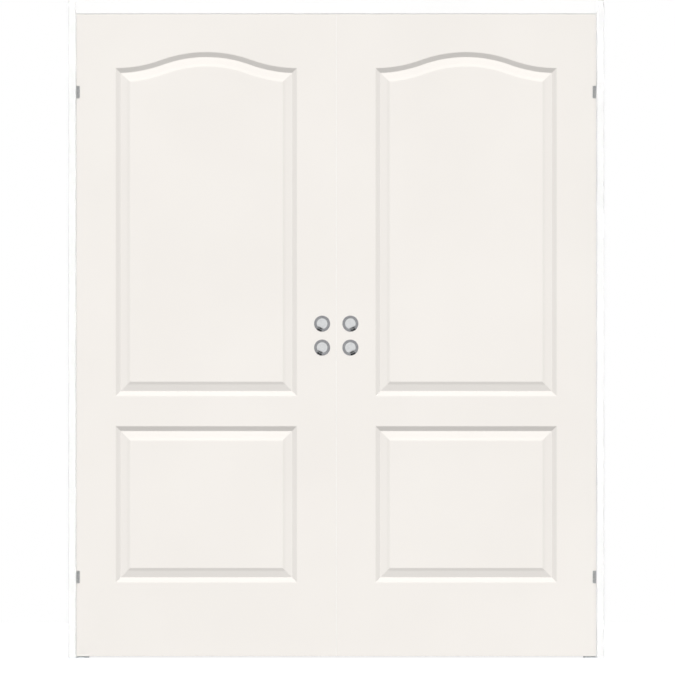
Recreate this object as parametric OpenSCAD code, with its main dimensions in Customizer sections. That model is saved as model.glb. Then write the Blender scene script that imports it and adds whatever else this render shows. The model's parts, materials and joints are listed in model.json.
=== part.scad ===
// Double pocket door: two moulded panel leaves that hang from a track and slide apart into a split frame.
// X runs along the doorway, Y through it with the front at -Y, Z up from the floor.
// Each side is modelled at +X and mirrored for the left, each face at +Y and mirrored for the front.

/* [Leaf] */
// Width of one leaf
leaf_w = 825; // [700:5:950]
// Height of one leaf
leaf_h = 2040; // [1950:10:2300]
// Thickness of one leaf
leaf_t = 40; // [38:1:50]
// Gap under a leaf
floor_gap = 6; // [5:0.5:15]
// Gap between the closed leaves
meeting_gap = 0.6; // [0.4:0.1:4]
// Thickness of a moulded skin
skin_t = 4; // [3:0.5:5]
// Width of the inner stile at the pocket edge
trailing_stile_w = 45; // [40:1:100]
// Width of the inner stile at the meeting edge
meeting_stile_w = 95; // [90:1:115]
// Height of the inner top rail
top_rail_h = 90; // [60:1:110]
// Height of the inner bottom rail
bottom_rail_h = 100; // [60:1:200]

/* [Panels] */
// Flat margin between a leaf edge and its panels
margin_w = 124.5; // [118:0.5:180]
// Flat margin under the lower panel
foot_margin_h = 235; // [210:1:300]
// Height of the lower panel
lower_panel_h = 496; // [300:1:560]
// Flat margin between the two panels
lock_margin_h = 96; // [60:1:200]
// Flat margin above the arch of the upper panel
crown_margin_h = 120; // [112:1:180]
// Rise of the arch above its shoulders
arch_rise = 51; // [20:1:90]

/* [Panel relief] */
// Depth of the groove round a panel
groove_d = 12; // [6:0.5:13]
// Width of the outer wall of the groove
groove_wall_w = 15; // [8:0.5:24]
// Width of the flat floor of the groove
groove_floor_w = 1.5; // [1:0.5:6]
// Width of the raised bevel inside the groove
bevel_w = 20.5; // [10:0.5:30]
// Depth where the bevel ends
bevel_end_d = 5; // [2:0.25:5.75]
// Width of the small step at the edge of the field
step_w = 8.5; // [3:0.5:10]
// Depth of the flat field
field_d = 0.25; // [0.25:0.25:1.5]

/* [Finger cups] */
// Diameter of the rim
cup_rim_d = 51; // [47:0.5:56]
// Diameter of the hollow at its mouth
cup_mouth_d = 37; // [35:0.5:38]
// Diameter of the flat floor of the hollow
cup_floor_d = 34; // [26:0.5:34]
// Diameter of the body let into the leaf
cup_body_d = 41; // [40:0.5:44]
// Depth of the hollow below the leaf face
cup_depth = 9; // [6:0.5:10]
// Height of the rim above the leaf face
cup_rim_h = 1.6; // [1:0.1:3]
// Thickness of the cup floor
cup_floor_t = 1.2; // [0.8:0.1:2]
// Distance of the cups from the meeting edge
cup_inset = 44.6; // [40:0.2:55]
// Height of the lower cup above the leaf bottom
cup_z = 981; // [860:1:1100]
// Distance between the lower and the upper cup
cup_pitch = 76; // [60:1:150]

/* [Edge clips] */
// Width of a clip on the leaf face
clip_w = 10.5; // [8:0.5:20]
// Height of a clip
clip_h = 40; // [20:1:80]
// Thickness of the folded steel
clip_t = 1.5; // [1:0.1:2.5]
// How far a clip stands out of the leaf
clip_proud = 0.5; // [0.2:0.1:0.9]
// Distance of the upper clip from the leaf top
clip_top_z = 247; // [120:1:400]
// Distance of the lower clip from the leaf bottom
clip_foot_z = 252; // [120:1:400]

/* [Hangers] */
// Distance of a hanger from the leaf edge
hanger_inset = 60; // [52:1:90]
// Length of a hanger plate
plate_l = 70; // [60:1:90]
// Width of a hanger plate
plate_w = 26; // [20:1:30]
// Thickness of a hanger plate
plate_t = 3; // [2:0.5:5]
// Distance between the screws of a hanger plate
plate_screw_pitch = 50; // [44:1:54]
// Diameter of a hanger bolt
bolt_d = 8; // [6:0.5:9]
// Width of the adjusting nut across its flats
nut_w = 13; // [11:0.5:16]
// Height of the adjusting nut
nut_h = 6.5; // [4:0.5:8]
// Length of a carriage
carriage_l = 36; // [30:1:50]
// Height of a carriage
carriage_h = 16; // [14:0.5:17]
// Thickness of a carriage
carriage_t = 11; // [9:0.5:12]
// Diameter of a wheel
wheel_d = 19; // [18:0.5:20]
// Width of a wheel
wheel_w = 6; // [4:0.5:6.5]
// Diameter of an axle
axle_d = 5; // [4:0.5:6]

/* [Track and header] */
// Width of the track
track_w = 36; // [35:1:44]
// Height of the track
track_h = 28; // [27:1:32]
// Wall of the track
track_wall = 2.4; // [1.6:0.2:2.8]
// Width of the slot under the track
track_slot_w = 11; // [10:0.5:11.5]
// Height of the header channel
header_h = 34; // [33:1:45]
// Thickness of the galvanised sheet
sheet_t = 1.5; // [1:0.25:2]
// Height of the split head boards
head_board_h = 50; // [40:1:70]
// How far the posts reach up into the header channel
header_nest = 20; // [16:1:28]

/* [Pocket frame] */
// Depth of the whole frame through the wall
frame_depth = 100; // [95:1:180]
// Free space between a leaf face and the frame
side_clear = 6; // [4:0.5:12]
// Width of a jamb post
jamb_w = 24; // [18:1:45]
// Gap between the edge of a closed leaf and its jamb posts
jamb_gap = 1; // [0.5:0.5:5]
// How far a leaf travels
travel = 745; // [600:5:760]
// Width of a split stud
stud_w = 40; // [30:1:60]
// Width of the lips of a split stud
stud_lip = 9; // [5:0.5:12]
// Width of an end post
end_post_w = 40; // [30:1:60]
// Bevel on the edges of the timber
timber_bevel = 2; // [1:0.5:4]
// Length of a rubber bumper
bumper_l = 18; // [10:1:30]
// Diameter of the base of a rubber bumper
bumper_d = 28; // [20:1:36]
// Thickness of the floor plates
floor_plate_t = 3; // [2:0.5:4]
// Length of a floor plate under the studs
floor_plate_l = 90; // [80:1:120]

/* [Floor guide] */
// Length of the guide fin in the doorway
fin_l = 40; // [30:1:80]
// Thickness of the guide fin
fin_t = 5; // [3:0.5:6]
// Height of the guide fin above the floor
fin_h = 17; // [12:0.5:20]
// Width of the groove in the leaf bottom
guide_slot_w = 7; // [6.5:0.5:10]
// Depth of the groove in the leaf bottom
guide_slot_d = 16; // [15:0.5:25]

/* [Fixings] */
// Diameter of the fixing holes in the posts and the header
fixing_d = 8; // [6:0.5:10]
// Diameter of the fixing holes in the floor plates
floor_fixing_d = 6.5; // [5:0.5:8]
// Distance between the fixing holes of an end post across its depth
post_fixing_pitch = 50; // [40:1:70]
// Distance between the lower and the upper fixing holes of an end post
post_fixing_span = 1500; // [800:10:1700]
// Distance between the fixing holes along the header
header_fixing_span = 2000; // [1200:10:2400]
// Distance between the fixing holes across the header
header_fixing_pitch = 70; // [50:1:80]
// Diameter of the frame screws
screw_d = 4; // [3:0.5:5]
// Diameter of a screw head
screw_head_d = 9; // [7:0.5:11]
// Height of a screw head
screw_head_h = 2.2; // [1.5:0.1:3]
// Length of a screw under its head
screw_l = 16; // [12:1:20]

/* [Hidden] */
$fn = 64;
LEFT = -1;
RIGHT = 1;
FRONT = -1;
BACK = 1;

// Colours
leaf_white = [0.95, 0.94, 0.92];
frame_white = [0.97, 0.97, 0.96];
pine = [0.80, 0.65, 0.44];
chrome = [0.78, 0.79, 0.80];
steel = [0.66, 0.68, 0.70];
galvanised = [0.62, 0.65, 0.67];
aluminium = [0.76, 0.77, 0.78];
nylon = [0.90, 0.89, 0.84];
rubber = [0.12, 0.12, 0.12];

// Clearances
running_fit = 0.05;
seat_fit = 0.1;
stop_fit = 0.3;
cut_over = 1;

// Leaf planes
face_y = leaf_t / 2;
core_y = face_y - skin_t;
leaf_top = floor_gap + leaf_h;
lead_x = meeting_gap / 2;
trail_x = lead_x + leaf_w;
rail_x = lead_x + meeting_stile_w;
rail_l = leaf_w - meeting_stile_w - trailing_stile_w;

// Panels, each measured from the middle of its foot
panel_half = leaf_w / 2 - margin_w;
panel_x = lead_x + leaf_w / 2;
lower_panel_z = floor_gap + foot_margin_h;
upper_panel_z = lower_panel_z + lower_panel_h + lock_margin_h;
shoulder_h = leaf_top - crown_margin_h - arch_rise - upper_panel_z;
arch_r = (panel_half * panel_half + arch_rise * arch_rise) / (4 * arch_rise);
arch_angle = asin(panel_half / (2 * arch_r));
shoulder_steps = 8;
crown_steps = 16;

// Relief from the outer edge of a panel inwards, as [inset, depth]
bevel_start = groove_wall_w + groove_floor_w;
relief = [
    [0, 0],
    [groove_wall_w, groove_d],
    [bevel_start, groove_d],
    [bevel_start + bevel_w, bevel_end_d],
    [bevel_start + bevel_w + step_w, field_d]
];

// Finger cups
cup_x = lead_x + cup_inset;
cup_heights = [floor_gap + cup_z, floor_gap + cup_z + cup_pitch];
cup_hole_d = cup_body_d + 2 * seat_fit;
cup_hole_depth = cup_depth + cup_floor_t + seat_fit;
cup_rim_foot = 0.4;
cup_arc_steps = 10;

// Edge clips
clip_heights = [floor_gap + clip_foot_z, leaf_top - clip_top_z];
clip_recess = clip_t - clip_proud;

// Header and track
header_z = leaf_top + head_board_h;
header_top = header_z + header_h;
frame_half = frame_depth / 2;
post_half = frame_half - sheet_t;
slot_half = face_y + side_clear;
track_z = header_top - sheet_t - track_h;
tread_z = track_z + track_wall;
wheel_z = tread_z + stop_fit + wheel_d / 2;
header_screw_z = header_z + header_nest / 2;

// Hangers
hanger_xs = [lead_x + hanger_inset, trail_x - hanger_inset];
bolt_top = wheel_z - axle_d / 2 - cut_over;
wheel_gap = 0.5;
wheel_y = carriage_t / 2 + wheel_gap;
axle_head_t = 1;
axle_head_d = axle_d + 3;
axle_half = wheel_y + wheel_w + stop_fit + axle_head_t;
hanger_screw_d = 3.5;
hanger_screw_head_d = 7.5;
hanger_screw_head_h = 2;
hanger_screw_l = 30;

// Pocket frame along X
opening_half = trail_x + jamb_gap;
jamb_outer = opening_half + jamb_w;
post_x = trail_x + travel + clip_proud + stop_fit + bumper_l;
frame_end = post_x + end_post_w;
stud_x = (jamb_outer + post_x) / 2;
track_half = post_x - cut_over;
stop_half = lead_x + hanger_inset - carriage_l / 2 - stop_fit;
guide_x = opening_half - fin_l;
guide_l = fin_l + jamb_w;
guide_fixing_y = (slot_half + frame_half) / 2;
guide_fixing_x = guide_x + fin_l / 2;
plate_fixing_x = stud_x - (stud_w + floor_plate_l) / 4;
plate_fixing_span = (stud_w + floor_plate_l) / 2;

// Mirrors what is modelled at +X to the left side
module on_side(side) {
    if (side < 0)
        mirror([1, 0, 0]) children();
    else
        children();
}

// Mirrors what is modelled at +Y to the front face
module on_face(face) {
    if (face < 0)
        mirror([0, 1, 0]) children();
    else
        children();
}

// Extrudes a Y-Z outline along X, centred on X = 0
module along_x(length) {
    translate([-length / 2, 0, 0])
        rotate([90, 0, 90])
            linear_extrude(length)
                children();
}

// Extrudes an X-Z outline along Y, centred on Y = 0
module along_y(length) {
    rotate([90, 0, 0])
        linear_extrude(length, center = true)
            children();
}

// A cylinder along Y from y = 0 outwards
module rod_y(d, length) {
    rotate([-90, 0, 0])
        cylinder(d = d, h = length);
}

// A cylinder along X, from x = 0 outwards
module rod_x(d, length) {
    rotate([0, 90, 0])
        cylinder(d = d, h = length);
}

// A rectangle with bevelled corners, from its lowest corner
module bevelled(width, height, bevel) {
    polygon([
        [bevel, 0], [width - bevel, 0], [width, bevel], [width, height - bevel],
        [width - bevel, height], [bevel, height], [0, height - bevel], [0, bevel]
    ]);
}

// Top edge of an arched panel at one inset, from right to left: shoulder, crown, shoulder
function arch_edge(inset) =
    let (shoulder_r = arch_r + inset)
    let (crown_r = arch_r - inset)
    let (corner_angle = asin(inset / shoulder_r))
    let (sweep = arch_angle - corner_angle)
    let (right = [
        for (i = [0 : shoulder_steps])
            let (a = corner_angle + sweep * i / shoulder_steps)
            [panel_half - shoulder_r * sin(a), shoulder_h + arch_r - shoulder_r * cos(a)]
    ])
    let (crown = [
        for (i = [1 : crown_steps - 1])
            let (a = arch_angle * (1 - 2 * i / crown_steps))
            [crown_r * sin(a), shoulder_h + arch_rise - arch_r + crown_r * cos(a)]
    ])
    concat(right, crown, [for (i = [shoulder_steps : -1 : 0]) [-right[i][0], right[i][1]]]);

// Outline of the arched upper panel at one inset
function arched_outline(inset) =
    concat([[inset - panel_half, inset], [panel_half - inset, inset]], arch_edge(inset));

// Outline of the square lower panel at one inset
function square_outline(inset) = [
    [inset - panel_half, inset], [panel_half - inset, inset],
    [panel_half - inset, lower_panel_h - inset], [inset - panel_half, lower_panel_h - inset]
];

// Level strips that fill an outline from its foot to its crown, as indices of its points
function strips(count) = [
    for (k = [0 : ceil(count / 2) - 2])
        let (foot = [(count - k) % count, k + 1])
        let (head = [k + 2, count - k - 1])
        concat(foot, head[0] == head[1] ? [head[0]] : head)
];

// Solid between a plane at start_d and the panel relief sunk by a further extra_d below the leaf face
module relief_loft(outlines, start_d, extra_d) {
    stations = concat([start_d], [for (r = relief) r[1] + extra_d]);
    rings = len(stations);
    count = len(outlines[0]);
    points = [
        for (k = [0 : rings - 1])
            for (p = outlines[max(k - 1, 0)])
                [p[0], face_y - stations[k], p[1]]
    ];
    sides = [
        for (k = [0 : rings - 2])
            for (i = [0 : count - 1])
                let (j = (i + 1) % count)
                for (t = [[i, count + j, j], [i, count + i, count + j]])
                    [for (v = t) k * count + v]
    ];
    top = strips(count);
    bottom = [
        for (strip = top)
            [for (i = [len(strip) - 1 : -1 : 0]) (rings - 1) * count + strip[i]]
    ];
    polyhedron(points, concat(sides, top, bottom));
}

// Both panels of a leaf as lofts
module panel_lofts(start_d, extra_d) {
    translate([panel_x, 0, upper_panel_z])
        relief_loft([for (r = relief) arched_outline(r[0])], start_d, extra_d);
    translate([panel_x, 0, lower_panel_z])
        relief_loft([for (r = relief) square_outline(r[0])], start_d, extra_d);
}

// Holes for the finger cups in one face
module cup_holes() {
    for (z = cup_heights)
        translate([cup_x, face_y - cup_hole_depth, z])
            rod_y(cup_hole_d, cup_hole_depth + cut_over);
}

// Recesses for the edge clips, open at the pocket edge and at both faces
module clip_recesses() {
    for (z = clip_heights)
        translate([trail_x, 0, z])
            difference() {
                cube([2 * clip_w, 2 * leaf_t, clip_h + 2 * seat_fit], center = true);
                translate([-2 * clip_w - clip_recess, clip_recess - face_y, -clip_h])
                    cube([2 * clip_w, leaf_t - 2 * clip_recess, 2 * clip_h]);
            }
}

// Groove for the floor guide along the leaf bottom
module guide_slot() {
    translate([lead_x - cut_over, -guide_slot_w / 2, floor_gap - cut_over])
        cube([leaf_w + 2 * cut_over, guide_slot_w, guide_slot_d + cut_over]);
}

// Places of the hanger screws on top of a leaf
module at_hanger_screws() {
    for (x = hanger_xs)
        for (step = [-1, 1])
            translate([x + step * plate_screw_pitch / 2, 0, leaf_top])
                children();
}

// Pilot holes of the hanger screws in a leaf
module hanger_screw_holes() {
    at_hanger_screws()
        translate([0, 0, plate_t - hanger_screw_l - seat_fit])
            cylinder(d = hanger_screw_d + 2 * running_fit, h = hanger_screw_l + cut_over);
}

module skin(side, face) color(leaf_white) on_side(side) on_face(face)
    difference() {
        union() {
            translate([lead_x, core_y, floor_gap])
                cube([leaf_w, skin_t, leaf_h]);
            panel_lofts(skin_t / 2, skin_t);
        }
        panel_lofts(-cut_over, 0);
        cup_holes();
        clip_recesses();
    }

module trailing_stile(side) color(leaf_white) on_side(side)
    difference() {
        translate([trail_x - trailing_stile_w, -core_y, floor_gap])
            cube([trailing_stile_w, 2 * core_y, leaf_h]);
        guide_slot();
        clip_recesses();
        hanger_screw_holes();
    }

module meeting_stile(side) color(leaf_white) on_side(side)
    difference() {
        translate([lead_x, -core_y, floor_gap])
            cube([meeting_stile_w, 2 * core_y, leaf_h]);
        guide_slot();
        cup_holes();
        on_face(FRONT) cup_holes();
        hanger_screw_holes();
    }

module top_rail(side) color(leaf_white) on_side(side)
    difference() {
        translate([rail_x, -core_y, leaf_top - top_rail_h])
            cube([rail_l, 2 * core_y, top_rail_h]);
        hanger_screw_holes();
    }

module bottom_rail(side) color(leaf_white) on_side(side)
    difference() {
        translate([rail_x, -core_y, floor_gap])
            cube([rail_l, 2 * core_y, bottom_rail_h]);
        guide_slot();
    }

// Half section of a finger cup: body, rounded rim and dished hollow
module cup_section() {
    rim_half = (cup_rim_d - cup_mouth_d) / 4;
    rim_mid = (cup_rim_d + cup_mouth_d) / 4;
    floor_r = cup_floor_d / 2;
    dish_w = cup_mouth_d / 2 - floor_r;
    rim = [
        for (i = [0 : cup_arc_steps])
            let (a = 180 * i / cup_arc_steps)
            [rim_mid + rim_half * cos(a), cup_rim_foot + (cup_rim_h - cup_rim_foot) * sin(a)]
    ];
    dish = [
        for (i = [1 : cup_arc_steps])
            let (a = 90 * i / cup_arc_steps)
            [floor_r + dish_w * cos(a), cup_rim_foot - (cup_depth + cup_rim_foot) * sin(a)]
    ];
    base_h = -cup_depth - cup_floor_t;
    body = [[0, base_h], [cup_body_d / 2, base_h], [cup_body_d / 2, 0], [cup_rim_d / 2, 0]];
    polygon(concat(body, rim, dish, [[0, -cup_depth]]));
}

module cup(side, face, level) color(chrome) on_side(side) on_face(face)
    translate([cup_x, face_y, cup_heights[level]])
        rotate([-90, 0, 0])
            rotate_extrude()
                cup_section();

module edge_clip(side, level) color(steel) on_side(side)
    translate([trail_x, 0, clip_heights[level] - clip_h / 2])
        linear_extrude(clip_h)
            difference() {
                translate([-clip_w, -face_y - clip_proud])
                    square([clip_w + clip_proud, leaf_t + 2 * clip_proud]);
                translate([-clip_w - clip_t, clip_recess - face_y])
                    square([clip_w + clip_t - clip_recess, leaf_t - 2 * clip_recess]);
            }

module hanger_plates(side) color(galvanised) on_side(side)
    for (x = hanger_xs)
        translate([x, 0, leaf_top])
            difference() {
                translate([-plate_l / 2, -plate_w / 2, 0])
                    linear_extrude(plate_t)
                        bevelled(plate_l, plate_w, plate_w / 5);
                translate([0, 0, -cut_over])
                    cylinder(d = bolt_d + 2 * seat_fit, h = plate_t + 2 * cut_over);
                for (step = [-1, 1])
                    translate([step * plate_screw_pitch / 2, 0, -cut_over])
                        cylinder(d = hanger_screw_d + 2 * seat_fit, h = plate_t + 2 * cut_over);
            }

module hanger_screws(side) color(steel) on_side(side)
    at_hanger_screws() {
        translate([0, 0, plate_t])
            cylinder(d1 = hanger_screw_head_d, d2 = hanger_screw_head_d - 2, h = hanger_screw_head_h);
        translate([0, 0, plate_t - hanger_screw_l])
            cylinder(d = hanger_screw_d, h = hanger_screw_l);
    }

module hanger_bolts(side) color(steel) on_side(side)
    for (x = hanger_xs)
        translate([x, 0, leaf_top]) {
            cylinder(d = bolt_d, h = bolt_top - leaf_top);
            translate([0, 0, plate_t])
                cylinder(r = nut_w / 2 / cos(30), h = nut_h, $fn = 6);
        }

module carriages(side) color(galvanised) on_side(side)
    for (x = hanger_xs)
        translate([x, 0, wheel_z])
            difference() {
                translate([0, 0, -carriage_h / 2])
                    along_y(carriage_t)
                        translate([-carriage_l / 2, 0])
                            bevelled(carriage_l, carriage_h, carriage_h / 4);
                translate([0, -carriage_t, 0])
                    rod_y(axle_d + 2 * running_fit, 2 * carriage_t);
                translate([0, 0, -carriage_h])
                    cylinder(d = bolt_d + 2 * running_fit, h = carriage_h + bolt_top + running_fit - wheel_z);
            }

module axles(side) color(steel) on_side(side)
    for (x = hanger_xs)
        translate([x, -axle_half, wheel_z]) {
            rod_y(axle_d, 2 * axle_half);
            rod_y(axle_head_d, axle_head_t);
            translate([0, 2 * axle_half - axle_head_t, 0])
                rod_y(axle_head_d, axle_head_t);
        }

// Half section of a wheel: bored hub, thin web and rounded tread
module wheel_section() {
    bore_r = axle_d / 2 + running_fit;
    hub_r = bore_r + 2;
    rim_r = wheel_d / 2 - 2;
    dent = wheel_w / 5;
    crown = wheel_d / 40;
    polygon([
        [bore_r, 0], [hub_r, 0], [hub_r, dent], [rim_r, dent], [rim_r, 0],
        [wheel_d / 2 - crown, 0], [wheel_d / 2, crown], [wheel_d / 2, wheel_w - crown],
        [wheel_d / 2 - crown, wheel_w], [rim_r, wheel_w], [rim_r, wheel_w - dent],
        [hub_r, wheel_w - dent], [hub_r, wheel_w], [bore_r, wheel_w]
    ]);
}

module wheels(side, place) color(nylon) on_side(side)
    for (face = [FRONT, BACK])
        on_face(face)
            translate([hanger_xs[place], wheel_y, wheel_z])
                rotate([-90, 0, 0])
                    rotate_extrude()
                        wheel_section();

// One frame screw along Y, with its head outside the frame
module frame_screw() {
    translate([0, frame_half, 0])
        rod_y(screw_head_d, screw_head_h);
    translate([0, frame_half - screw_l, 0])
        rod_y(screw_d, screw_l);
}

// Places of the screws that tie the header to its posts on both sides and faces
module at_header_screws() {
    for (side = [LEFT, RIGHT])
        for (face = [FRONT, BACK])
            for (x = [stud_x, post_x + end_post_w / 2])
                on_side(side)
                    on_face(face)
                        translate([x, 0, header_screw_z])
                            children();
}

// Holes for the header screws
module header_screw_holes() {
    at_header_screws()
        translate([0, frame_half - screw_l - seat_fit, 0])
            rod_y(screw_d + 2 * running_fit, screw_l + cut_over);
}

module header_screws() color(steel)
    at_header_screws()
        frame_screw();

module header_channel() color(galvanised)
    difference() {
        translate([0, 0, header_z])
            along_x(2 * frame_end)
                difference() {
                    translate([-frame_half, 0])
                        square([frame_depth, header_h]);
                    translate([-post_half, -cut_over])
                        square([2 * post_half, header_h - sheet_t + cut_over]);
                }
        header_screw_holes();
        for (x = [-1, 1])
            for (y = [-1, 1])
                translate([x * header_fixing_span / 2, y * header_fixing_pitch / 2, header_top - header_h / 2])
                    cylinder(d = fixing_d, h = header_h);
    }

module track() color(aluminium)
    translate([0, 0, track_z])
        along_x(2 * track_half)
            difference() {
                translate([-track_w / 2, 0])
                    square([track_w, track_h]);
                translate([track_wall - track_w / 2, track_wall])
                    square([track_w - 2 * track_wall, track_h - 2 * track_wall]);
                translate([-track_slot_w / 2, -cut_over])
                    square([track_slot_w, track_wall + 2 * cut_over]);
            }

module centre_stop() color(rubber)
    translate([0, 0, tread_z])
        along_y(track_w - 2 * track_wall - 2 * seat_fit)
            translate([-stop_half, 0])
                bevelled(2 * stop_half, carriage_h, carriage_h / 4);

module jamb(side, face) color(frame_white) on_side(side) on_face(face)
    translate([opening_half, slot_half, floor_plate_t])
        linear_extrude(header_z - floor_plate_t)
            bevelled(jamb_w, frame_half - slot_half, timber_bevel);

module head_board(face) color(frame_white) on_face(face)
    translate([0, slot_half, leaf_top])
        along_x(2 * opening_half)
            bevelled(frame_half - slot_half, head_board_h, timber_bevel);

module stud(side, face) color(galvanised) on_side(side) on_face(face)
    difference() {
        translate([stud_x, 0, floor_plate_t])
            linear_extrude(header_z + header_nest - floor_plate_t)
                difference() {
                    translate([-stud_w / 2, slot_half])
                        square([stud_w, post_half - slot_half]);
                    translate([sheet_t - stud_w / 2, slot_half + sheet_t])
                        square([stud_w - 2 * sheet_t, post_half - slot_half - 2 * sheet_t]);
                    translate([stud_lip - stud_w / 2, slot_half - cut_over])
                        square([stud_w - 2 * stud_lip, sheet_t + 2 * cut_over]);
                }
        header_screw_holes();
    }

module end_post(side) color(pine) on_side(side)
    difference() {
        translate([post_x, -post_half, 0])
            linear_extrude(header_z + header_nest)
                bevelled(end_post_w, 2 * post_half, timber_bevel);
        header_screw_holes();
        for (y = [-1, 1])
            for (z = [-1, 1])
                translate([
                    post_x - cut_over,
                    y * post_fixing_pitch / 2,
                    header_z / 2 + z * post_fixing_span / 2
                ])
                    rod_x(fixing_d, end_post_w + 2 * cut_over);
    }

module bumpers() color(rubber)
    for (side = [LEFT, RIGHT])
        on_side(side)
            for (z = clip_heights)
                translate([post_x, 0, z])
                    rotate([0, -90, 0])
                        rotate_extrude()
                            polygon([
                                [0, 0], [bumper_d / 2, 0], [bumper_d / 2, bumper_l / 5],
                                [bumper_d / 2.6, bumper_l / 4], [bumper_d / 3, bumper_l * 0.85],
                                [bumper_d / 4, bumper_l], [0, bumper_l]
                            ]);

module floor_guide(side) color(galvanised) on_side(side)
    difference() {
        union() {
            translate([guide_x, -frame_half, 0])
                cube([guide_l, frame_depth, floor_plate_t]);
            translate([guide_x, fin_t / 2, 0])
                rotate([90, 0, 0])
                    linear_extrude(fin_t)
                        bevelled(fin_l, fin_h, fin_t / 2);
        }
        for (y = [-1, 1])
            translate([guide_fixing_x, y * guide_fixing_y, -cut_over])
                cylinder(d = floor_fixing_d, h = floor_plate_t + 2 * cut_over);
    }

module floor_plate(side) color(galvanised) on_side(side)
    difference() {
        translate([stud_x - floor_plate_l / 2, -frame_half, 0])
            cube([floor_plate_l, frame_depth, floor_plate_t]);
        for (x = [0, plate_fixing_span])
            translate([plate_fixing_x + x, 0, -cut_over])
                cylinder(d = floor_fixing_d, h = floor_plate_t + 2 * cut_over);
    }

header_channel();
track();
centre_stop();
header_screws();
jamb(LEFT, FRONT);  // left_front_jamb
jamb(LEFT, BACK);  // left_back_jamb
jamb(RIGHT, FRONT);  // right_front_jamb
jamb(RIGHT, BACK);  // right_back_jamb
head_board(FRONT);  // front_head_board
head_board(BACK);  // back_head_board
stud(LEFT, FRONT);  // left_front_stud
stud(LEFT, BACK);  // left_back_stud
stud(RIGHT, FRONT);  // right_front_stud
stud(RIGHT, BACK);  // right_back_stud
end_post(LEFT);  // left_end_post
end_post(RIGHT);  // right_end_post
bumpers();
floor_guide(LEFT);  // left_floor_guide
floor_guide(RIGHT);  // right_floor_guide
floor_plate(LEFT);  // left_floor_plate
floor_plate(RIGHT);  // right_floor_plate
skin(LEFT, FRONT);  // left_front_skin
skin(LEFT, BACK);  // left_back_skin
trailing_stile(LEFT);  // left_trailing_stile
meeting_stile(LEFT);  // left_meeting_stile
top_rail(LEFT);  // left_top_rail
bottom_rail(LEFT);  // left_bottom_rail
cup(LEFT, FRONT, 1);  // left_upper_front_cup
cup(LEFT, FRONT, 0);  // left_lower_front_cup
cup(LEFT, BACK, 1);  // left_upper_back_cup
cup(LEFT, BACK, 0);  // left_lower_back_cup
edge_clip(LEFT, 1);  // left_upper_edge_clip
edge_clip(LEFT, 0);  // left_lower_edge_clip
hanger_plates(LEFT);  // left_hanger_plates
hanger_screws(LEFT);  // left_hanger_screws
hanger_bolts(LEFT);  // left_hanger_bolts
carriages(LEFT);  // left_carriages
axles(LEFT);  // left_axles
wheels(LEFT, 0);  // left_lead_wheels
wheels(LEFT, 1);  // left_trail_wheels
skin(RIGHT, FRONT);  // right_front_skin
skin(RIGHT, BACK);  // right_back_skin
trailing_stile(RIGHT);  // right_trailing_stile
meeting_stile(RIGHT);  // right_meeting_stile
top_rail(RIGHT);  // right_top_rail
bottom_rail(RIGHT);  // right_bottom_rail
cup(RIGHT, FRONT, 1);  // right_upper_front_cup
cup(RIGHT, FRONT, 0);  // right_lower_front_cup
cup(RIGHT, BACK, 1);  // right_upper_back_cup
cup(RIGHT, BACK, 0);  // right_lower_back_cup
edge_clip(RIGHT, 1);  // right_upper_edge_clip
edge_clip(RIGHT, 0);  // right_lower_edge_clip
hanger_plates(RIGHT);  // right_hanger_plates
hanger_screws(RIGHT);  // right_hanger_screws
hanger_bolts(RIGHT);  // right_hanger_bolts
carriages(RIGHT);  // right_carriages
axles(RIGHT);  // right_axles
wheels(RIGHT, 0);  // right_lead_wheels
wheels(RIGHT, 1);  // right_trail_wheels
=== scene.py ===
"""Looks of a double pocket door: moulded leaves with finger cups and edge clips in a split pocket frame."""
import json
import math

import bmesh
import bpy
from mathutils import Matrix, Vector

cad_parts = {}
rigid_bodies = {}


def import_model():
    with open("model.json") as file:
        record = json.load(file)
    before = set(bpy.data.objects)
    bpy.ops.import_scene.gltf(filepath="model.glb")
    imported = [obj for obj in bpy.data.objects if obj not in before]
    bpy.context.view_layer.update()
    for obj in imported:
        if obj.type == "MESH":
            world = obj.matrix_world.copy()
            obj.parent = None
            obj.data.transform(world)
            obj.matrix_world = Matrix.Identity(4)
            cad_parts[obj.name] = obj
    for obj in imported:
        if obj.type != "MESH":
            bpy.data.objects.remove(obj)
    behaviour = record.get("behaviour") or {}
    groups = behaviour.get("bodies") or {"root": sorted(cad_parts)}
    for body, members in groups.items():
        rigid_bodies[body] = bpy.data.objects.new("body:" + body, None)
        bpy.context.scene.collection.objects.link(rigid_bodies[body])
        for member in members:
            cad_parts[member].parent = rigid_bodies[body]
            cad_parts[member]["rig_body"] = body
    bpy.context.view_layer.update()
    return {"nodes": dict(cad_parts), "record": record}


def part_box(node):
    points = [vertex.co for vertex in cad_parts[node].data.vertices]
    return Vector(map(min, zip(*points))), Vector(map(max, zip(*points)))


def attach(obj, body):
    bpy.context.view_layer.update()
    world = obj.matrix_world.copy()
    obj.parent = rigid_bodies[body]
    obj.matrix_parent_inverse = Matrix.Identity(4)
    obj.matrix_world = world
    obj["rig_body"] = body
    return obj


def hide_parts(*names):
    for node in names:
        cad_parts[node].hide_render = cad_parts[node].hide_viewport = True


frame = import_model()

# Sizes in metres, angles in radians; an arc is its first and last angle in degrees and its number of steps
MM = 0.001
LEAF_FACE = -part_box("left_front_skin")[0].y
# Points that lie closer than this count as one
WELD = 0.001 * MM
SMOOTH_ANGLE = math.radians(18)
QUARTER_TURN = math.pi / 2

# Moulded skins
GROOVE_DEPTH = 12 * MM
FIELD_DEPTH = 0.25 * MM
CREASE_STRIP = 4 * MM
GROOVE_ROUND = 0.6 * MM
EDGE_ROUND = 1.5 * MM
ARRIS = 0.8 * MM
CREASE_ANGLE = math.radians(5)
FLAT_ANGLE = math.radians(0.02)
MITRE_SLOPE = 0.04
MITRE_TURN = math.radians(30)
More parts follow.
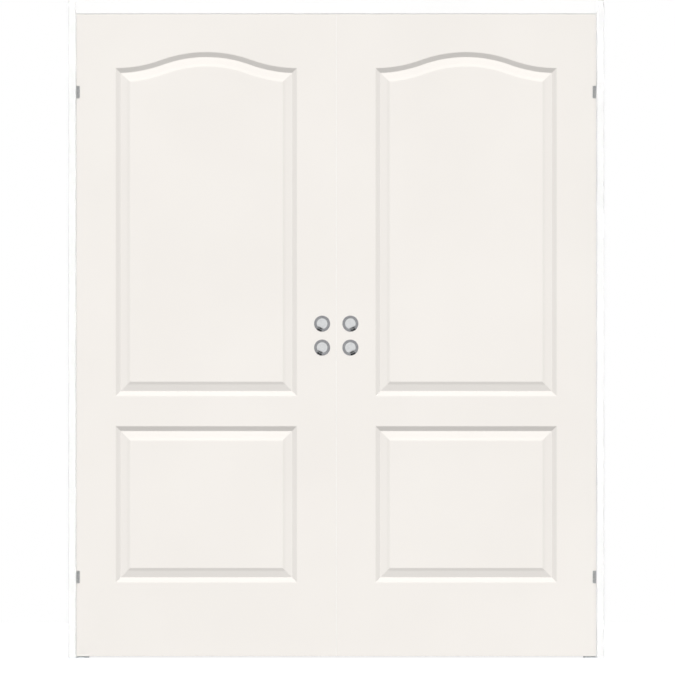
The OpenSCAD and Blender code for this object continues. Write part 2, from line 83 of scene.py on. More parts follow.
# Share of a normal that points out of the leaf: on the moulded side at all, and straight out
MOULDED_SIDE = 0.3
STRAIGHT_OUT = 0.9999

# Finger cups
CUP_MOUTH_R = 18.5 * MM
CUP_FLOOR_R = 17 * MM
CUP_BODY_R = 20.5 * MM
CUP_DEPTH = 9 * MM
CUP_BASE = -10.2 * MM
CUP_RIM_H = 1.6 * MM
CUP_RIM_FOOT = 0.7 * MM
CUP_LIP_R = 0.8 * MM
CUP_LIP_ARC = (80, 180, 8)
CUP_WALL_ARC = (6, 90, 14)
CUP_FLOOR_SAG = 0.4 * MM
# Shares of the way from the floor's edge to its centre
CUP_FLOOR_RINGS = (0.2, 0.4, 0.6, 0.8, 0.95)
CUP_SIDES = 96

# Edge clips
CLIP_SHEET = 1.5 * MM
CLIP_FOLD_R = 1.2 * MM
CLIP_CORNER_R = 3 * MM
CLIP_RIB_INSET = 2.2 * MM
CLIP_RIB_SLOPE = 0.7 * MM
CLIP_RIB_H = 0.35 * MM
CLIP_EDGE_R = 0.3 * MM
CLIP_EDGE_ANGLE = math.radians(40)

# Header screws
SCREW_R = 2 * MM
SCREW_TIP_R = 0.6 * MM
SCREW_POINT_L = 4 * MM
SCREW_HEAD_R = 4.5 * MM
SCREW_HEAD_H = 2.2 * MM
SCREW_HEAD_SKIRT = 0.7 * MM
SCREW_DOME_ARC = (0, 80, 8)
SCREW_SIDES = 40
CROSS_L = 5.2 * MM
CROSS_W = 1.1 * MM
CROSS_D = 1.5 * MM

# Rubber bumpers, with their outline in shares of radius and length
BUMPER_R = 14 * MM
BUMPER_L = 18 * MM
BUMPER_FLANGE = ((1.0, 0.0), (1.0, 0.16), (0.95, 0.2))
BUMPER_NECK = ((0.8, 0.22), (0.72, 0.3), (0.67, 0.72))
BUMPER_NOSE_CORE = 0.2
BUMPER_NOSE_R = 0.47
BUMPER_NOSE_L = 0.28
BUMPER_NOSE_ARC = (10, 90, 8)
BUMPER_SMOOTH_ANGLE = math.radians(50)
BUMPER_SIDES = 48

# Camera
PICTURE_WIDTH = 2.145
PICTURE_CENTRE = (0.004, 1.019)
CAMERA_DISTANCE = 25.0
CAMERA_REACH = 100.0
SENSOR_IN_MM = 36.0

# Lamps and surroundings
LAMP_SOFTNESS = math.radians(24)
KEY_STRENGTH = 2.24
KEY_ELEVATION = math.radians(38)
BACK_STRENGTH = 1.9
BACK_ELEVATION = math.radians(48)
JAMB_FILL = 0.8
HEAD_FILL = 0.9
GUIDE_FILL = 5.0
GUIDE_FILL_ELEVATION = math.radians(10)
AMBIENT = 0.48
# What metal mirrors, by how far a direction points straight to the front or the back
MIRRORED = (
    (0.0, (0.34, 0.34, 0.35)), (0.5, (0.36, 0.36, 0.37)),
    (0.968, (0.36, 0.36, 0.37)), (0.984, (0.84, 0.84, 0.84)),
)
SHADOWLESS = ("header_channel", "front_head_board", "left_front_jamb", "right_front_jamb")

# Black flags in front of the cups: distance from the leaf, distance from the cup's axis, width and height
RIM_FLAG = (0.13, 0.0575, 0.042, 0.012)
DISH_FLAG = (0.05, 0.0117, 0.014, 0.0066)
FLAG_TURN = math.radians(24)

# Floor
FLOOR_SIZE = 6.0
FLOOR_SHADE = 0.5
FLOOR_GLOW = 0.68
FLOOR_ROUGHNESS = 0.9

# Usual spread of soft noise
NOISE_LOW = 0.3
NOISE_HIGH = 0.7


# Finishes

def new_finish(name, metallic):
    """A material with its node tree and its shader."""
    material = bpy.data.materials.new(name)
    material.use_nodes = True
    tree = material.node_tree
    shader = tree.nodes["Principled BSDF"]
    shader.inputs["Metallic"].default_value = metallic
    return material, tree, shader


def place_on_object(tree, stretch=(1, 1, 1)):
    """Object coordinates, stretched along X, Y and Z."""
    place = tree.nodes.new("ShaderNodeTexCoord")
    mapping = tree.nodes.new("ShaderNodeMapping")
    mapping.inputs["Scale"].default_value = stretch
    tree.links.new(place.outputs["Object"], mapping.inputs["Vector"])
    return mapping.outputs["Vector"]


def cloudy(tree, vector, scale, detail):
    """Soft noise from 0 to 1."""
    noise = tree.nodes.new("ShaderNodeTexNoise")
    noise.inputs["Scale"].default_value = scale
    noise.inputs["Detail"].default_value = detail
    tree.links.new(vector, noise.inputs["Vector"])
    return noise.outputs["Fac"]


def tones(tree, factor, *stops):
    """Colours along a factor, each stop as its place and its colour."""
    ramp = tree.nodes.new("ShaderNodeValToRGB")
    points = ramp.color_ramp.elements
    while len(points) < len(stops):
        points.new(1.0)
    for point, (position, colour) in zip(points, stops):
        point.position = position
        point.color = (*colour, 1.0)
    tree.links.new(factor, ramp.inputs["Fac"])
    return ramp.outputs["Color"]


def coloured(tree, shader, factor, *stops):
    """Base colour along a factor."""
    tree.links.new(tones(tree, factor, *stops), shader.inputs["Base Color"])


def gloss_range(tree, shader, factor, low, high):
    """Roughness between two values along a factor."""
    spread = tree.nodes.new("ShaderNodeMapRange")
    spread.inputs["From Min"].default_value = NOISE_LOW
    spread.inputs["From Max"].default_value = NOISE_HIGH
    spread.inputs["To Min"].default_value = low
    spread.inputs["To Max"].default_value = high
    tree.links.new(factor, spread.inputs["Value"])
    tree.links.new(spread.outputs["Result"], shader.inputs["Roughness"])


def relief(tree, shader, height, depth, strength):
    """Surface relief from a height factor."""
    bump = tree.nodes.new("ShaderNodeBump")
    bump.inputs["Distance"].default_value = depth
    bump.inputs["Strength"].default_value = strength
    tree.links.new(height, bump.inputs["Height"])
    tree.links.new(bump.outputs["Normal"], shader.inputs["Normal"])


def satin_paint(name, pale, deep):
    """Sprayed satin paint: faint cloudy tone, fine peel."""
    material, tree, shader = new_finish(name, metallic=0.0)
    place = place_on_object(tree)
    coloured(tree, shader, cloudy(tree, place, scale=2.2, detail=3), (0.35, deep), (0.65, pale))
    gloss_range(tree, shader, cloudy(tree, place, scale=35, detail=2), low=0.42, high=0.52)
    relief(tree, shader, cloudy(tree, place, scale=420, detail=2), depth=0.05 * MM, strength=0.25)
    shader.inputs["Specular IOR Level"].default_value = 0.35
    return material


def planed_pine(name):
    """Planed pine with its grain upright."""
    material, tree, shader = new_finish(name, metallic=0.0)
    wave = tree.nodes.new("ShaderNodeTexWave")
    wave.wave_type = "BANDS"
    wave.bands_direction = "DIAGONAL"
    wave.inputs["Scale"].default_value = 26
    wave.inputs["Distortion"].default_value = 7
    wave.inputs["Detail"].default_value = 3
    wave.inputs["Detail Scale"].default_value = 1.6
    tree.links.new(place_on_object(tree, stretch=(1, 1, 0.05)), wave.inputs["Vector"])
    coloured(
        tree, shader, wave.outputs["Fac"],
        (0.0, (0.62, 0.43, 0.23)), (0.35, (0.74, 0.56, 0.34)), (1.0, (0.80, 0.64, 0.42)),
    )
    pores = cloudy(tree, place_on_object(tree, stretch=(1, 1, 0.02)), scale=600, detail=2)
    gloss_range(tree, shader, pores, low=0.5, high=0.68)
    relief(tree, shader, pores, depth=0.1 * MM, strength=0.35)
    return material


def galvanised_sheet(name):
    """Hot-dip zinc with its crystal spangle."""
    material, tree, shader = new_finish(name, metallic=0.6)
    cells = tree.nodes.new("ShaderNodeTexVoronoi")
    cells.inputs["Scale"].default_value = 85
    cells.inputs["Randomness"].default_value = 1.0
    tree.links.new(place_on_object(tree), cells.inputs["Vector"])
    split = tree.nodes.new("ShaderNodeSeparateColor")
    tree.links.new(cells.outputs["Color"], split.inputs["Color"])
    coloured(tree, shader, split.outputs["Red"], (0.0, (0.60, 0.63, 0.65)), (1.0, (0.76, 0.78, 0.79)))
    gloss_range(tree, shader, split.outputs["Green"], low=0.34, high=0.5)
    return material


def drawn_aluminium(name):
    """Extruded aluminium with fine lines along its length."""
    material, tree, shader = new_finish(name, metallic=0.95)
    lines = cloudy(tree, place_on_object(tree, stretch=(2, 700, 700)), scale=1, detail=2)
    coloured(tree, shader, lines, (0.3, (0.74, 0.75, 0.76)), (0.7, (0.82, 0.83, 0.84)))
    gloss_range(tree, shader, lines, low=0.26, high=0.4)
    return material


def polished_chrome(name):
    """Polished chrome with faint smears."""
    material, tree, shader = new_finish(name, metallic=1.0)
    smears = cloudy(tree, place_on_object(tree, stretch=(1, 1, 1.6)), scale=90, detail=3)
    coloured(tree, shader, smears, (0.3, (0.78, 0.79, 0.80)), (0.7, (0.86, 0.87, 0.87)))
    gloss_range(tree, shader, smears, low=0.05, high=0.13)
    return material


def zinc_plate(name, pale, deep):
    """Zinc-plated steel with a slightly uneven passivation."""
    material, tree, shader = new_finish(name, metallic=0.95)
    place = place_on_object(tree)
    coloured(tree, shader, cloudy(tree, place, scale=160, detail=3), (0.35, deep), (0.65, pale))
    gloss_range(tree, shader, cloudy(tree, place, scale=900, detail=2), low=0.28, high=0.42)
    return material


def moulded_nylon(name):
    """Moulded nylon, slightly uneven in tone."""
    material, tree, shader = new_finish(name, metallic=0.0)
    place = place_on_object(tree)
    clouds = cloudy(tree, place, scale=60, detail=2)
    coloured(tree, shader, clouds, (0.3, (0.80, 0.78, 0.70)), (0.7, (0.86, 0.85, 0.79)))
    gloss_range(tree, shader, cloudy(tree, place, scale=500, detail=2), low=0.38, high=0.5)
    return material


def moulded_rubber(name):
    """Matt black rubber."""
    material, tree, shader = new_finish(name, metallic=0.0)
    grain = cloudy(tree, place_on_object(tree), scale=700, detail=3)
    coloured(tree, shader, grain, (0.3, (0.018, 0.018, 0.019)), (0.7, (0.045, 0.045, 0.046)))
    gloss_range(tree, shader, grain, low=0.62, high=0.82)
    relief(tree, shader, grain, depth=0.1 * MM, strength=0.4)
    return material


finishes = {
    "leaf_paint": satin_paint("leaf_paint", (0.892, 0.858, 0.816), (0.872, 0.838, 0.796)),
    "frame_paint": satin_paint("frame_paint", (0.975, 0.972, 0.966), (0.958, 0.955, 0.949)),
    "post_timber": planed_pine("post_timber"),
    "chrome": polished_chrome("chrome"),
    "clip_steel": zinc_plate("clip_steel", (0.66, 0.66, 0.65), (0.54, 0.55, 0.55)),
    "screw_steel": zinc_plate("screw_steel", (0.74, 0.73, 0.68), (0.62, 0.62, 0.60)),
    "galvanised": galvanised_sheet("galvanised"),
    "track_aluminium": drawn_aluminium("track_aluminium"),
    "nylon": moulded_nylon("nylon"),
    "rubber": moulded_rubber("rubber"),
}


# Modelling steps

def clear_selection():
    """Leaves no object selected."""
    bpy.ops.object.select_all(action="DESELECT")


def pick(piece):
    """Makes one piece the only selected and the active one."""
    clear_selection()
    piece.select_set(True)
    bpy.context.view_layer.objects.active = piece


def open_edit(piece):
    """Opens a piece for editing with nothing selected."""
    pick(piece)
    bpy.ops.object.mode_set(mode="EDIT")
    bpy.ops.mesh.select_all(action="DESELECT")


def close_edit():
    """Goes back from editing a mesh to handling whole objects."""
    bpy.ops.object.mode_set(mode="OBJECT")


def select(piece, kind, wanted):
    """Selects the points, edges or faces of an open piece for which wanted holds."""
    bpy.ops.mesh.select_mode(type=kind)
    bpy.ops.mesh.select_all(action="DESELECT")
    mesh = bmesh.from_edit_mesh(piece.data)
    mesh.normal_update()
    for part in {"VERT": mesh.verts, "EDGE": mesh.edges, "FACE": mesh.faces}[kind]:
        part.select_set(wanted(part))
    bmesh.update_edit_mesh(piece.data)


def round_edges(piece, wanted, radius, segments):
    """Rounds the edges of an open piece for which wanted holds."""
    select(piece, "EDGE", wanted)
    bpy.ops.mesh.bevel(offset=radius, segments=segments, affect="EDGES")


def turn_outward():
    """Points all faces of an open piece the same way, outward where the piece is closed."""
    bpy.ops.mesh.select_all(action="SELECT")
    bpy.ops.mesh.normals_make_consistent(inside=False)


def apply_modifier(piece, modifier):
    """Makes what a modifier does part of the mesh."""
    pick(piece)
    bpy.ops.object.modifier_apply(modifier=modifier.name)


def smooth(piece, angle=SMOOTH_ANGLE):
    """Smooth shading with flat faces kept flat."""
    pick(piece)
    bpy.ops.object.shade_smooth_by_angle(angle=angle)
    weights = piece.modifiers.new("flat_faces", "WEIGHTED_NORMAL")
    weights.keep_sharp = True
    apply_modifier(piece, weights)


def arc(start, end, steps):
    """Angles in radians from start to end in degrees, both ends included."""
    return [math.radians(start + (end - start) * i / steps) for i in range(steps + 1)]


def turned(name, profile, sides):
    """A solid turned about Z from its profile of (radius, height), which starts at its base."""
    radius, height = profile[0]
    clear_selection()
    bpy.ops.mesh.primitive_circle_add(
        vertices=sides, radius=radius, fill_type="NGON", location=(0, 0, height)
    )
    piece = bpy.context.object
    piece.name = name
    bpy.ops.object.transform_apply(location=True, rotation=True, scale=True)
    bpy.ops.object.mode_set(mode="EDIT")
    bpy.ops.mesh.select_all(action="SELECT")
    for next_radius, next_height in profile[1:]:
        bpy.ops.mesh.extrude_region_move(
            TRANSFORM_OT_translate={"value": (0, 0, next_height - height)}
        )
        grow = next_radius / radius
        bpy.ops.transform.resize(value=(grow, grow, 1), center_override=(0, 0, next_height))
        radius, height = next_radius, next_height
    turn_outward()
    close_edit()
    return piece


def copied(piece, name, place):
    """A copy with its own mesh, put in place by a matrix."""
    copy = bpy.data.objects.new(name, piece.data.copy())
    bpy.context.scene.collection.objects.link(copy)
    copy.data.transform(place)
    return copy


def set_on_face(low, high, face_y, front):
    """The matrix that sets a piece made along Z on the front or back face at the middle of a box."""
    middle = (low + high) / 2
    turn = Matrix.Rotation(QUARTER_TURN if front else -QUARTER_TURN, 4, "X")
    return Matrix.Translation((middle.x, face_y, middle.z)) @ turn


def joined(pieces, name):
    """Several pieces as one object."""
    clear_selection()
    for piece in pieces:
        piece.select_set(True)
    bpy.context.view_layer.objects.active = pieces[0]
    bpy.ops.object.join()
    bpy.context.object.name = name
    return bpy.context.object


def stands_for(piece, node, slot):
    """Puts a finished piece in the place of its node, on that node's body."""
    piece.data.materials.clear()
    piece.data.materials.append(finishes[slot])
    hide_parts(node)
    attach(piece, frame["nodes"][node]["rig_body"])


# Solids of a shared node

def connected(start, left):
    """The points that edges tie to a first one, taken out of those that are left."""
    reached = [start]
    for vert in reached:
        for edge in vert.link_edges:
            other = edge.other_vert(vert)
            if other in left:
                left.discard(other)
                reached.append(other)
    return reached


def loose_parts(node):
    """Lowest and highest corner of each separate solid of a node, in a fixed order."""
    mesh = bmesh.new()
    mesh.from_mesh(frame["nodes"][node].data)
    bmesh.ops.remove_doubles(mesh, verts=mesh.verts, dist=WELD)
    left = set(mesh.verts)
    boxes = []
    while left:
        points = [vert.co for vert in connected(left.pop(), left)]
        low = Vector([min(point[i] for point in points) for i in range(3)])
        high = Vector([max(point[i] for point in points) for i in range(3)])
        boxes.append((low, high))
    mesh.free()
    return sorted(boxes, key=lambda box: tuple(round(c, 4) for c in box[0]))


# Moulded skins

def depth_of(part, outward):
    """How deep an edge or a face lies below the face of its leaf, at its first corner."""
    return LEAF_FACE - outward * part.verts[0].co.y


def is_flat(face, outward, depth):
    """Whether a face looks straight out of the leaf at a given depth."""
    straight = face.normal.y * outward > STRAIGHT_OUT
    return straight and abs(depth_of(face, outward) - depth) < WELD


def is_crease(edge, outward):
    """Whether an edge lies flat between two faces of the moulded side that meet at an angle."""
    if len(edge.link_faces) != 2:
        return False
    if any(face.normal.y * outward < MOULDED_SIDE for face in edge.link_faces):
        return False
    start, end = (vert.co for vert in edge.verts)
    lies_flat = abs(start.y - end.y) < WELD
    return lies_flat and edge.calc_face_angle(0) > CREASE_ANGLE


def is_groove_crease(edge, outward):
    """Whether an edge is a crease at the floor of a groove."""
    return is_crease(edge, outward) and depth_of(edge, outward) > GROOVE_DEPTH - GROOVE_ROUND


def is_upper_crease(edge, outward):
    """Whether an edge is a crease well above the floor of a groove."""
    return is_crease(edge, outward) and depth_of(edge, outward) < GROOVE_DEPTH - 2 * GROOVE_ROUND


def is_arris(edge, outward, pocket_x, ends_z):
    """Whether an edge runs along the pocket edge, the top or the foot of a leaf, on its moulded side."""
    middle = (edge.verts[0].co + edge.verts[1].co) / 2
    on_face = abs(middle.y - outward * LEAF_FACE) < WELD
    on_side = abs(middle.x - pocket_x) < WELD
    on_end = any(abs(middle.z - z) < WELD for z in ends_z)
    return on_face and (on_side or on_end)


def is_mitre(edge):
    """Whether an edge lies between two sloping faces that look different ways in the plane of the leaf."""
    slopes = [Vector((face.normal.x, face.normal.z)) for face in edge.link_faces]
    if any(slope.length < MITRE_SLOPE for slope in slopes):
        return False
    return slopes[0].angle(slopes[-1]) > MITRE_TURN


def merged_copy(node, name):
    """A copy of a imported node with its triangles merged, open for editing."""
    piece = copied(frame["nodes"][node], name, Matrix())
    open_edit(piece)
    bpy.ops.mesh.select_all(action="SELECT")
    bpy.ops.mesh.remove_doubles(threshold=WELD)
    bpy.ops.mesh.dissolve_limited(angle_limit=FLAT_ANGLE)
    return piece


def moulded_skin(node):
    """A pressed skin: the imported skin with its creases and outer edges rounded."""
    outward = -1 if "front" in node else 1
    low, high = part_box(node)
    pocket_x = low.x if "left" in node else high.x
    ends_z = (low.z, high.z)
    piece = merged_copy(node, node.replace("skin", "moulding"))
    for depth in (0, FIELD_DEPTH):
        select(piece, "FACE", lambda face: is_flat(face, outward, depth))
        bpy.ops.mesh.inset(thickness=CREASE_STRIP, depth=0)
    round_edges(piece, lambda edge: is_groove_crease(edge, outward), GROOVE_ROUND, segments=2)
    round_edges(piece, lambda edge: is_upper_crease(edge, outward), EDGE_ROUND, segments=3)
    round_edges(piece, lambda edge: is_arris(edge, outward, pocket_x, ends_z), ARRIS, segments=2)
    select(piece, "EDGE", is_mitre)
    bpy.ops.mesh.mark_sharp()
    close_edit()
    smooth(piece)
    # A skin throws no light back into its own grooves
    piece.visible_diffuse = False
    stands_for(piece, node, "leaf_paint")


# Finger cups

def cup_profile(rim_r):
    """Half section of a cup: body, coned rim with a rounded lip, wall and dished floor."""
    lip_r = CUP_MOUTH_R + CUP_LIP_R
    lip_h = CUP_RIM_H - CUP_LIP_R
    body = [(CUP_BODY_R, CUP_BASE), (CUP_BODY_R, 0), (rim_r, 0), (rim_r, CUP_RIM_FOOT)]
    lip = [
        (lip_r + CUP_LIP_R * math.cos(a), lip_h + CUP_LIP_R * math.sin(a))
        for a in arc(*CUP_LIP_ARC)
    ]
    wall_w = CUP_MOUTH_R - CUP_FLOOR_R
    wall_h = CUP_DEPTH + lip_h
    wall = [
        (CUP_FLOOR_R + wall_w * math.cos(a), lip_h - wall_h * math.sin(a))
        for a in arc(*CUP_WALL_ARC)
    ]
    floor = [
        (CUP_FLOOR_R * (1 - s), -CUP_DEPTH - CUP_FLOOR_SAG * (1 - (1 - s) ** 2))
        for s in CUP_FLOOR_RINGS
    ]
    return body + lip + wall + floor


def finger_cups():
    """The eight cups, turned once and copied into the leaf faces."""
    low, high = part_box("left_upper_front_cup")
    master = turned("cup_master", cup_profile((high.x - low.x) / 2), CUP_SIDES)
    smooth(master)
    for node in [n for n in frame["nodes"] if n.endswith("_cup")]:
        front = "front" in node
        place = set_on_face(*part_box(node), -LEAF_FACE if front else LEAF_FACE, front)
        stands_for(copied(master, node + "_turned", place), node, "chrome")
    bpy.data.objects.remove(master)


# Edge clips

def front_flange(name, low, high):
    """A plane the size of a clip's front flange."""
    middle = (low + high) / 2
    clear_selection()
    bpy.ops.mesh.primitive_plane_add(
        size=1, location=(middle.x, low.y, middle.z), rotation=(QUARTER_TURN, 0, 0)
    )
    piece = bpy.context.object
    piece.name = name
    piece.scale = (high.x - low.x, high.z - low.z, 1)
    bpy.ops.object.transform_apply(location=True, rotation=True, scale=True)
    return piece


def fold_round_leaf(piece, fold_x, tip_x, across):
    """Folds the strip on across the leaf's edge and along its back."""
    select(piece, "EDGE", lambda edge: all(abs(v.co.x - fold_x) < WELD for v in edge.verts))
    bpy.ops.mesh.extrude_region_move(TRANSFORM_OT_translate={"value": (0, across, 0)})
    bpy.ops.mesh.extrude_region_move(TRANSFORM_OT_translate={"value": (tip_x - fold_x, 0, 0)})
    round_edges(piece, lambda edge: len(edge.link_faces) == 2, CLIP_FOLD_R, segments=4)


def round_flange_corners(piece, tip_x):
    """Rounds the four free corners of the flanges."""
    select(piece, "VERT", lambda vert: abs(vert.co.x - tip_x) < WELD)
    bpy.ops.mesh.bevel(offset=CLIP_CORNER_R, segments=5, affect="VERTICES")


def press_ribs(piece, front_y, back_y):
    """Presses a shallow rib out of each flange."""
    for flange_y, way in ((front_y, -1), (back_y, 1)):
        select(piece, "FACE", lambda face: all(abs(v.co.y - flange_y) < WELD for v in face.verts))
        bpy.ops.mesh.inset(thickness=CLIP_RIB_INSET, depth=0)
        bpy.ops.mesh.inset(thickness=CLIP_RIB_SLOPE, depth=0)
        bpy.ops.transform.translate(value=(0, way * CLIP_RIB_H, 0))


def faces_out(piece, middle):
    """Whether the faces of an open sheet point away from the middle of its box."""
    return sum((f.center - middle).dot(f.normal) * f.area for f in piece.data.polygons) > 0


def thicken(piece, middle):
    """Gives a folded sheet its thickness on the inside of the fold."""
    sheet = piece.modifiers.new("sheet", "SOLIDIFY")
    sheet.thickness = CLIP_SHEET
    sheet.offset = -1 if faces_out(piece, middle) else 1
    sheet.use_even_offset = True
    apply_modifier(piece, sheet)


def soften(piece):
    """Small rounds on the sharp edges of a clip."""
    rounds = piece.modifiers.new("rounds", "BEVEL")
    rounds.width = CLIP_EDGE_R
    rounds.segments = 2
    rounds.limit_method = "ANGLE"
    rounds.angle_limit = CLIP_EDGE_ANGLE
    apply_modifier(piece, rounds)


def edge_clip(node):
    """A strip of steel folded round the leaf's edge, with a pressed rib on each flange."""
    low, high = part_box(node)
    fold_x, tip_x = (high.x, low.x) if "right" in node else (low.x, high.x)
    piece = front_flange(node + "_folded", low, high)
    open_edit(piece)
    fold_round_leaf(piece, fold_x, tip_x, high.y - low.y)
    round_flange_corners(piece, tip_x)
    press_ribs(piece, low.y, high.y)
    turn_outward()
    close_edit()
    thicken(piece, (low + high) / 2)
    soften(piece)
    smooth(piece)
    stands_for(piece, node, "clip_steel")


# Header screws

def cross_bars():
    """The two bars of the cross that is cut into a screw head."""
    bars = []
    for length, width in ((CROSS_L, CROSS_W), (CROSS_W, CROSS_L)):
        clear_selection()
        bpy.ops.mesh.primitive_cube_add(size=1, location=(0, 0, SCREW_HEAD_H))
        bar = bpy.context.object
        bar.scale = (length, width, 2 * CROSS_D)
        bpy.ops.object.transform_apply(location=True, rotation=True, scale=True)
        bars.append(bar)
    return bars


def pan_screw(length):
    """A pan-head screw along Z with its head above z = 0."""
    point = [(SCREW_TIP_R, -length), (SCREW_R, SCREW_POINT_L - length)]
    neck = [(SCREW_R, 0), (SCREW_HEAD_R, 0)]
    dome_h = SCREW_HEAD_H - SCREW_HEAD_SKIRT
    dome = [
        (SCREW_HEAD_R * math.cos(a), SCREW_HEAD_SKIRT + dome_h * math.sin(a))
        for a in arc(*SCREW_DOME_ARC)
    ]
    screw = turned("screw_master", point + neck + dome, SCREW_SIDES)
    for bar in cross_bars():
        cut = screw.modifiers.new("cross", "BOOLEAN")
        cut.operation = "DIFFERENCE"
        cut.object = bar
        apply_modifier(screw, cut)
        bpy.data.objects.remove(bar)
    smooth(screw)
    return screw


def header_screws():
    """The screws that tie the header to its posts, heads outside the frame."""
    boxes = loose_parts("header_screws")
    low, high = boxes[0]
    master = pan_screw(high.y - low.y - SCREW_HEAD_H)
    screws = []
    for low, high in boxes:
        front = low.y < 0
        head_y = low.y + SCREW_HEAD_H if front else high.y - SCREW_HEAD_H
        screws.append(copied(master, "screw", set_on_face(low, high, head_y, front)))
    bpy.data.objects.remove(master)
    stands_for(joined(screws, "header_pan_screws"), "header_screws", "screw_steel")


# Rubber bumpers

def bumper_profile():
    """Half section of a bumper: flange, neck and rounded nose."""
    nose_foot = BUMPER_NECK[-1][1]
    nose = [
        (BUMPER_NOSE_CORE + BUMPER_NOSE_R * math.cos(a), nose_foot + BUMPER_NOSE_L * math.sin(a))
        for a in arc(*BUMPER_NOSE_ARC)
    ]
    outline = [*BUMPER_FLANGE, *BUMPER_NECK, *nose]
    return [(r * BUMPER_R, h * BUMPER_L) for r, h in outline]


def rubber_bumpers():
    """Soft buffers on the end posts, turned once and copied to each post."""
    master = turned("bumper_master", bumper_profile(), BUMPER_SIDES)
    smooth(master, BUMPER_SMOOTH_ANGLE)
    bumpers = []
    for low, high in loose_parts("bumpers"):
        right = low.x > 0
        middle = (low + high) / 2
        turn = Matrix.Rotation(-QUARTER_TURN if right else QUARTER_TURN, 4, "Y")
        place = Matrix.Translation((high.x if right else low.x, middle.y, middle.z))
        bumpers.append(copied(master, "bumper", place @ turn))
    bpy.data.objects.remove(master)
    stands_for(joined(bumpers, "post_bumpers"), "bumpers", "rubber")


# Stage

def soft_lamp(name, strength, elevation, azimuth):
    """A soft distant lamp; azimuth 0 shines from the front."""
    light = bpy.data.lights.new(name, "SUN")
    light.energy = strength
    light.angle = LAMP_SOFTNESS
    lamp = bpy.data.objects.new(name, light)
    bpy.context.scene.collection.objects.link(lamp)
    lamp.rotation_euler = (QUARTER_TURN - elevation, 0, azimuth)
    lamp.visible_glossy = False
    return lamp


def link_light(lamp, piece, state):
    """Gives a lamp one piece to light alone (INCLUDE) or to leave out (EXCLUDE)."""
    linked = bpy.data.collections.new(lamp.name + "_link")
    linked.objects.link(piece)
    linked.collection_objects[0].light_linking.link_state = state
    lamp.light_linking.receiver_collection = linked


def studio_lamps(floor):
    """A key lamp in front, a lamp behind that leaves the floor out, and lamps for single pieces."""
    soft_lamp("key", KEY_STRENGTH, KEY_ELEVATION, 0)
    link_light(soft_lamp("back", BACK_STRENGTH, BACK_ELEVATION, math.pi), floor, "EXCLUDE")
    fills = (
        ("left_front_jamb", JAMB_FILL, 0, QUARTER_TURN),
        ("right_front_jamb", JAMB_FILL, 0, -QUARTER_TURN),
        ("front_head_board", HEAD_FILL, -QUARTER_TURN, 0),
        ("left_floor_guide", GUIDE_FILL, GUIDE_FILL_ELEVATION, 0),
        ("right_floor_guide", GUIDE_FILL, GUIDE_FILL_ELEVATION, 0),
    )
    for node, strength, elevation, azimuth in fills:
        lamp = soft_lamp(node + "_fill", strength, elevation, azimuth)
        link_light(lamp, frame["nodes"][node], "INCLUDE")


def blend(tree, factor, low, high):
    """One shader where the factor is 0, another where it is 1."""
    mix = tree.nodes.new("ShaderNodeMixShader")
    tree.links.new(factor, mix.inputs["Fac"])
    tree.links.new(low, mix.inputs[1])
    tree.links.new(high, mix.inputs[2])
    return mix.outputs["Shader"]


def front_and_back(tree):
    """What metal mirrors: pale straight in front and behind, grey all round."""
    place = tree.nodes.new("ShaderNodeTexCoord")
    parts = tree.nodes.new("ShaderNodeSeparateXYZ")
    tree.links.new(place.outputs["Generated"], parts.inputs["Vector"])
    along = tree.nodes.new("ShaderNodeMath")
    along.operation = "ABSOLUTE"
    tree.links.new(parts.outputs["Y"], along.inputs[0])
    return tones(tree, along.outputs["Value"], *MIRRORED)


def surroundings():
    """White all round for the camera, soft even light for the object."""
    world = bpy.data.worlds.new("studio")
    world.use_nodes = True
    bpy.context.scene.world = world
    tree = world.node_tree
    even = tree.nodes["Background"]
    even.inputs["Color"].default_value = (1, 1, 1, 1)
    even.inputs["Strength"].default_value = AMBIENT
    white = tree.nodes.new("ShaderNodeBackground")
    white.inputs["Color"].default_value = (1, 1, 1, 1)
    white.inputs["Strength"].default_value = 1.0
    mirrored = tree.nodes.new("ShaderNodeBackground")
    tree.links.new(front_and_back(tree), mirrored.inputs["Color"])
    path = tree.nodes.new("ShaderNodeLightPath")
    glossy = path.outputs["Is Glossy Ray"]
    lit = blend(tree, glossy, even.outputs["Background"], mirrored.outputs["Background"])
    seen = blend(tree, path.outputs["Is Camera Ray"], lit, white.outputs["Background"])
    tree.links.new(seen, tree.nodes["World Output"].inputs["Surface"])


def pale_floor():
    """A plain pale floor that glows softly, throws nothing back at the object and shades no lamp."""
    clear_selection()
    bpy.ops.mesh.primitive_plane_add(size=FLOOR_SIZE)
    floor = bpy.context.object
    floor.name = "floor"
    material, _, shader = new_finish("floor", metallic=0.0)
    shader.inputs["Base Color"].default_value = (FLOOR_SHADE, FLOOR_SHADE, FLOOR_SHADE, 1)
    shader.inputs["Roughness"].default_value = FLOOR_ROUGHNESS
    shader.inputs["Specular IOR Level"].default_value = 0.0
    shader.inputs["Emission Color"].default_value = (1, 1, 1, 1)
    shader.inputs["Emission Strength"].default_value = FLOOR_GLOW
    floor.data.materials.append(material)
    floor.visible_diffuse = False
    floor.visible_glossy = False
    floor.visible_shadow = False
    return floor


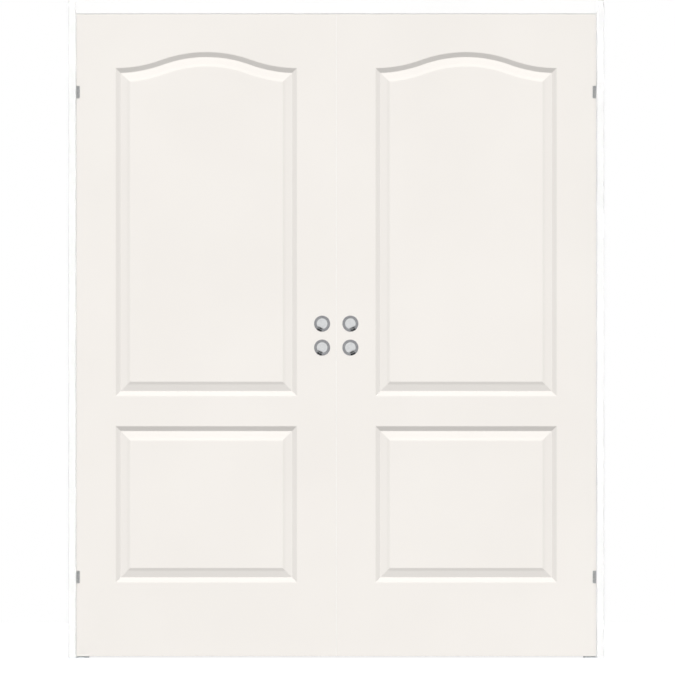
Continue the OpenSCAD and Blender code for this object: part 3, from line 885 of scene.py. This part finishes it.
def flag(name, place, turn, width, height, material):
    """A small upright card that is seen in reflections alone."""
    clear_selection()
    bpy.ops.mesh.primitive_plane_add(size=1, location=place, rotation=(QUARTER_TURN, turn, 0))
    piece = bpy.context.object
    piece.name = name
    piece.scale = (width, height, 1)
    piece.data.materials.append(material)
    piece.visible_camera = False
    piece.visible_diffuse = False
    piece.visible_shadow = False
    piece.visible_transmission = False


def cup_flags():
    """Black flags that put a dark spot low on each front cup, one for its rim and one for its dish."""
    material, _, shader = new_finish("flag", metallic=0.0)
    shader.inputs["Base Color"].default_value = (0.0, 0.0, 0.0, 1)
    shader.inputs["Specular IOR Level"].default_value = 0.0
    for node in [n for n in frame["nodes"] if n.endswith("front_cup")]:
        low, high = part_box(node)
        middle = (low + high) / 2
        turn = FLAG_TURN if "left" in node else -FLAG_TURN
        for out, reach, width, height in (RIM_FLAG, DISH_FLAG):
            x = middle.x - reach * math.sin(turn)
            z = middle.z - reach * math.cos(turn)
            flag(node + "_flag", (x, -LEAF_FACE - out, z), turn, width, height, material)


def front_camera():
    """A long lens straight in front of the leaves."""
    camera = bpy.data.objects.new("camera", bpy.data.cameras.new("camera"))
    bpy.context.scene.collection.objects.link(camera)
    camera.data.sensor_width = SENSOR_IN_MM
    camera.data.lens = SENSOR_IN_MM * CAMERA_DISTANCE / PICTURE_WIDTH
    camera.data.clip_end = CAMERA_REACH
    camera.location = (PICTURE_CENTRE[0], -LEAF_FACE - CAMERA_DISTANCE, PICTURE_CENTRE[1])
    camera.rotation_euler = (QUARTER_TURN, 0, 0)
    bpy.context.scene.camera = camera
    bpy.context.scene.view_settings.view_transform = "Standard"


front_camera()
surroundings()
floor = pale_floor()
cup_flags()
studio_lamps(floor)

for part in frame["record"]["subparts"]:
    cad_piece = frame["nodes"][part["node"]]
    cad_piece.data.materials.clear()
    cad_piece.data.materials.append(finishes[part["material_slot"]])

# These throw neither shadow nor light into the joints round the leaves
for node in SHADOWLESS:
    frame["nodes"][node].visible_shadow = False
    frame["nodes"][node].visible_diffuse = False

for node in list(frame["nodes"]):
    if node.endswith("_skin"):
        moulded_skin(node)
    elif node.endswith("_edge_clip"):
        edge_clip(node)
finger_cups()
header_screws()
rubber_bumpers()
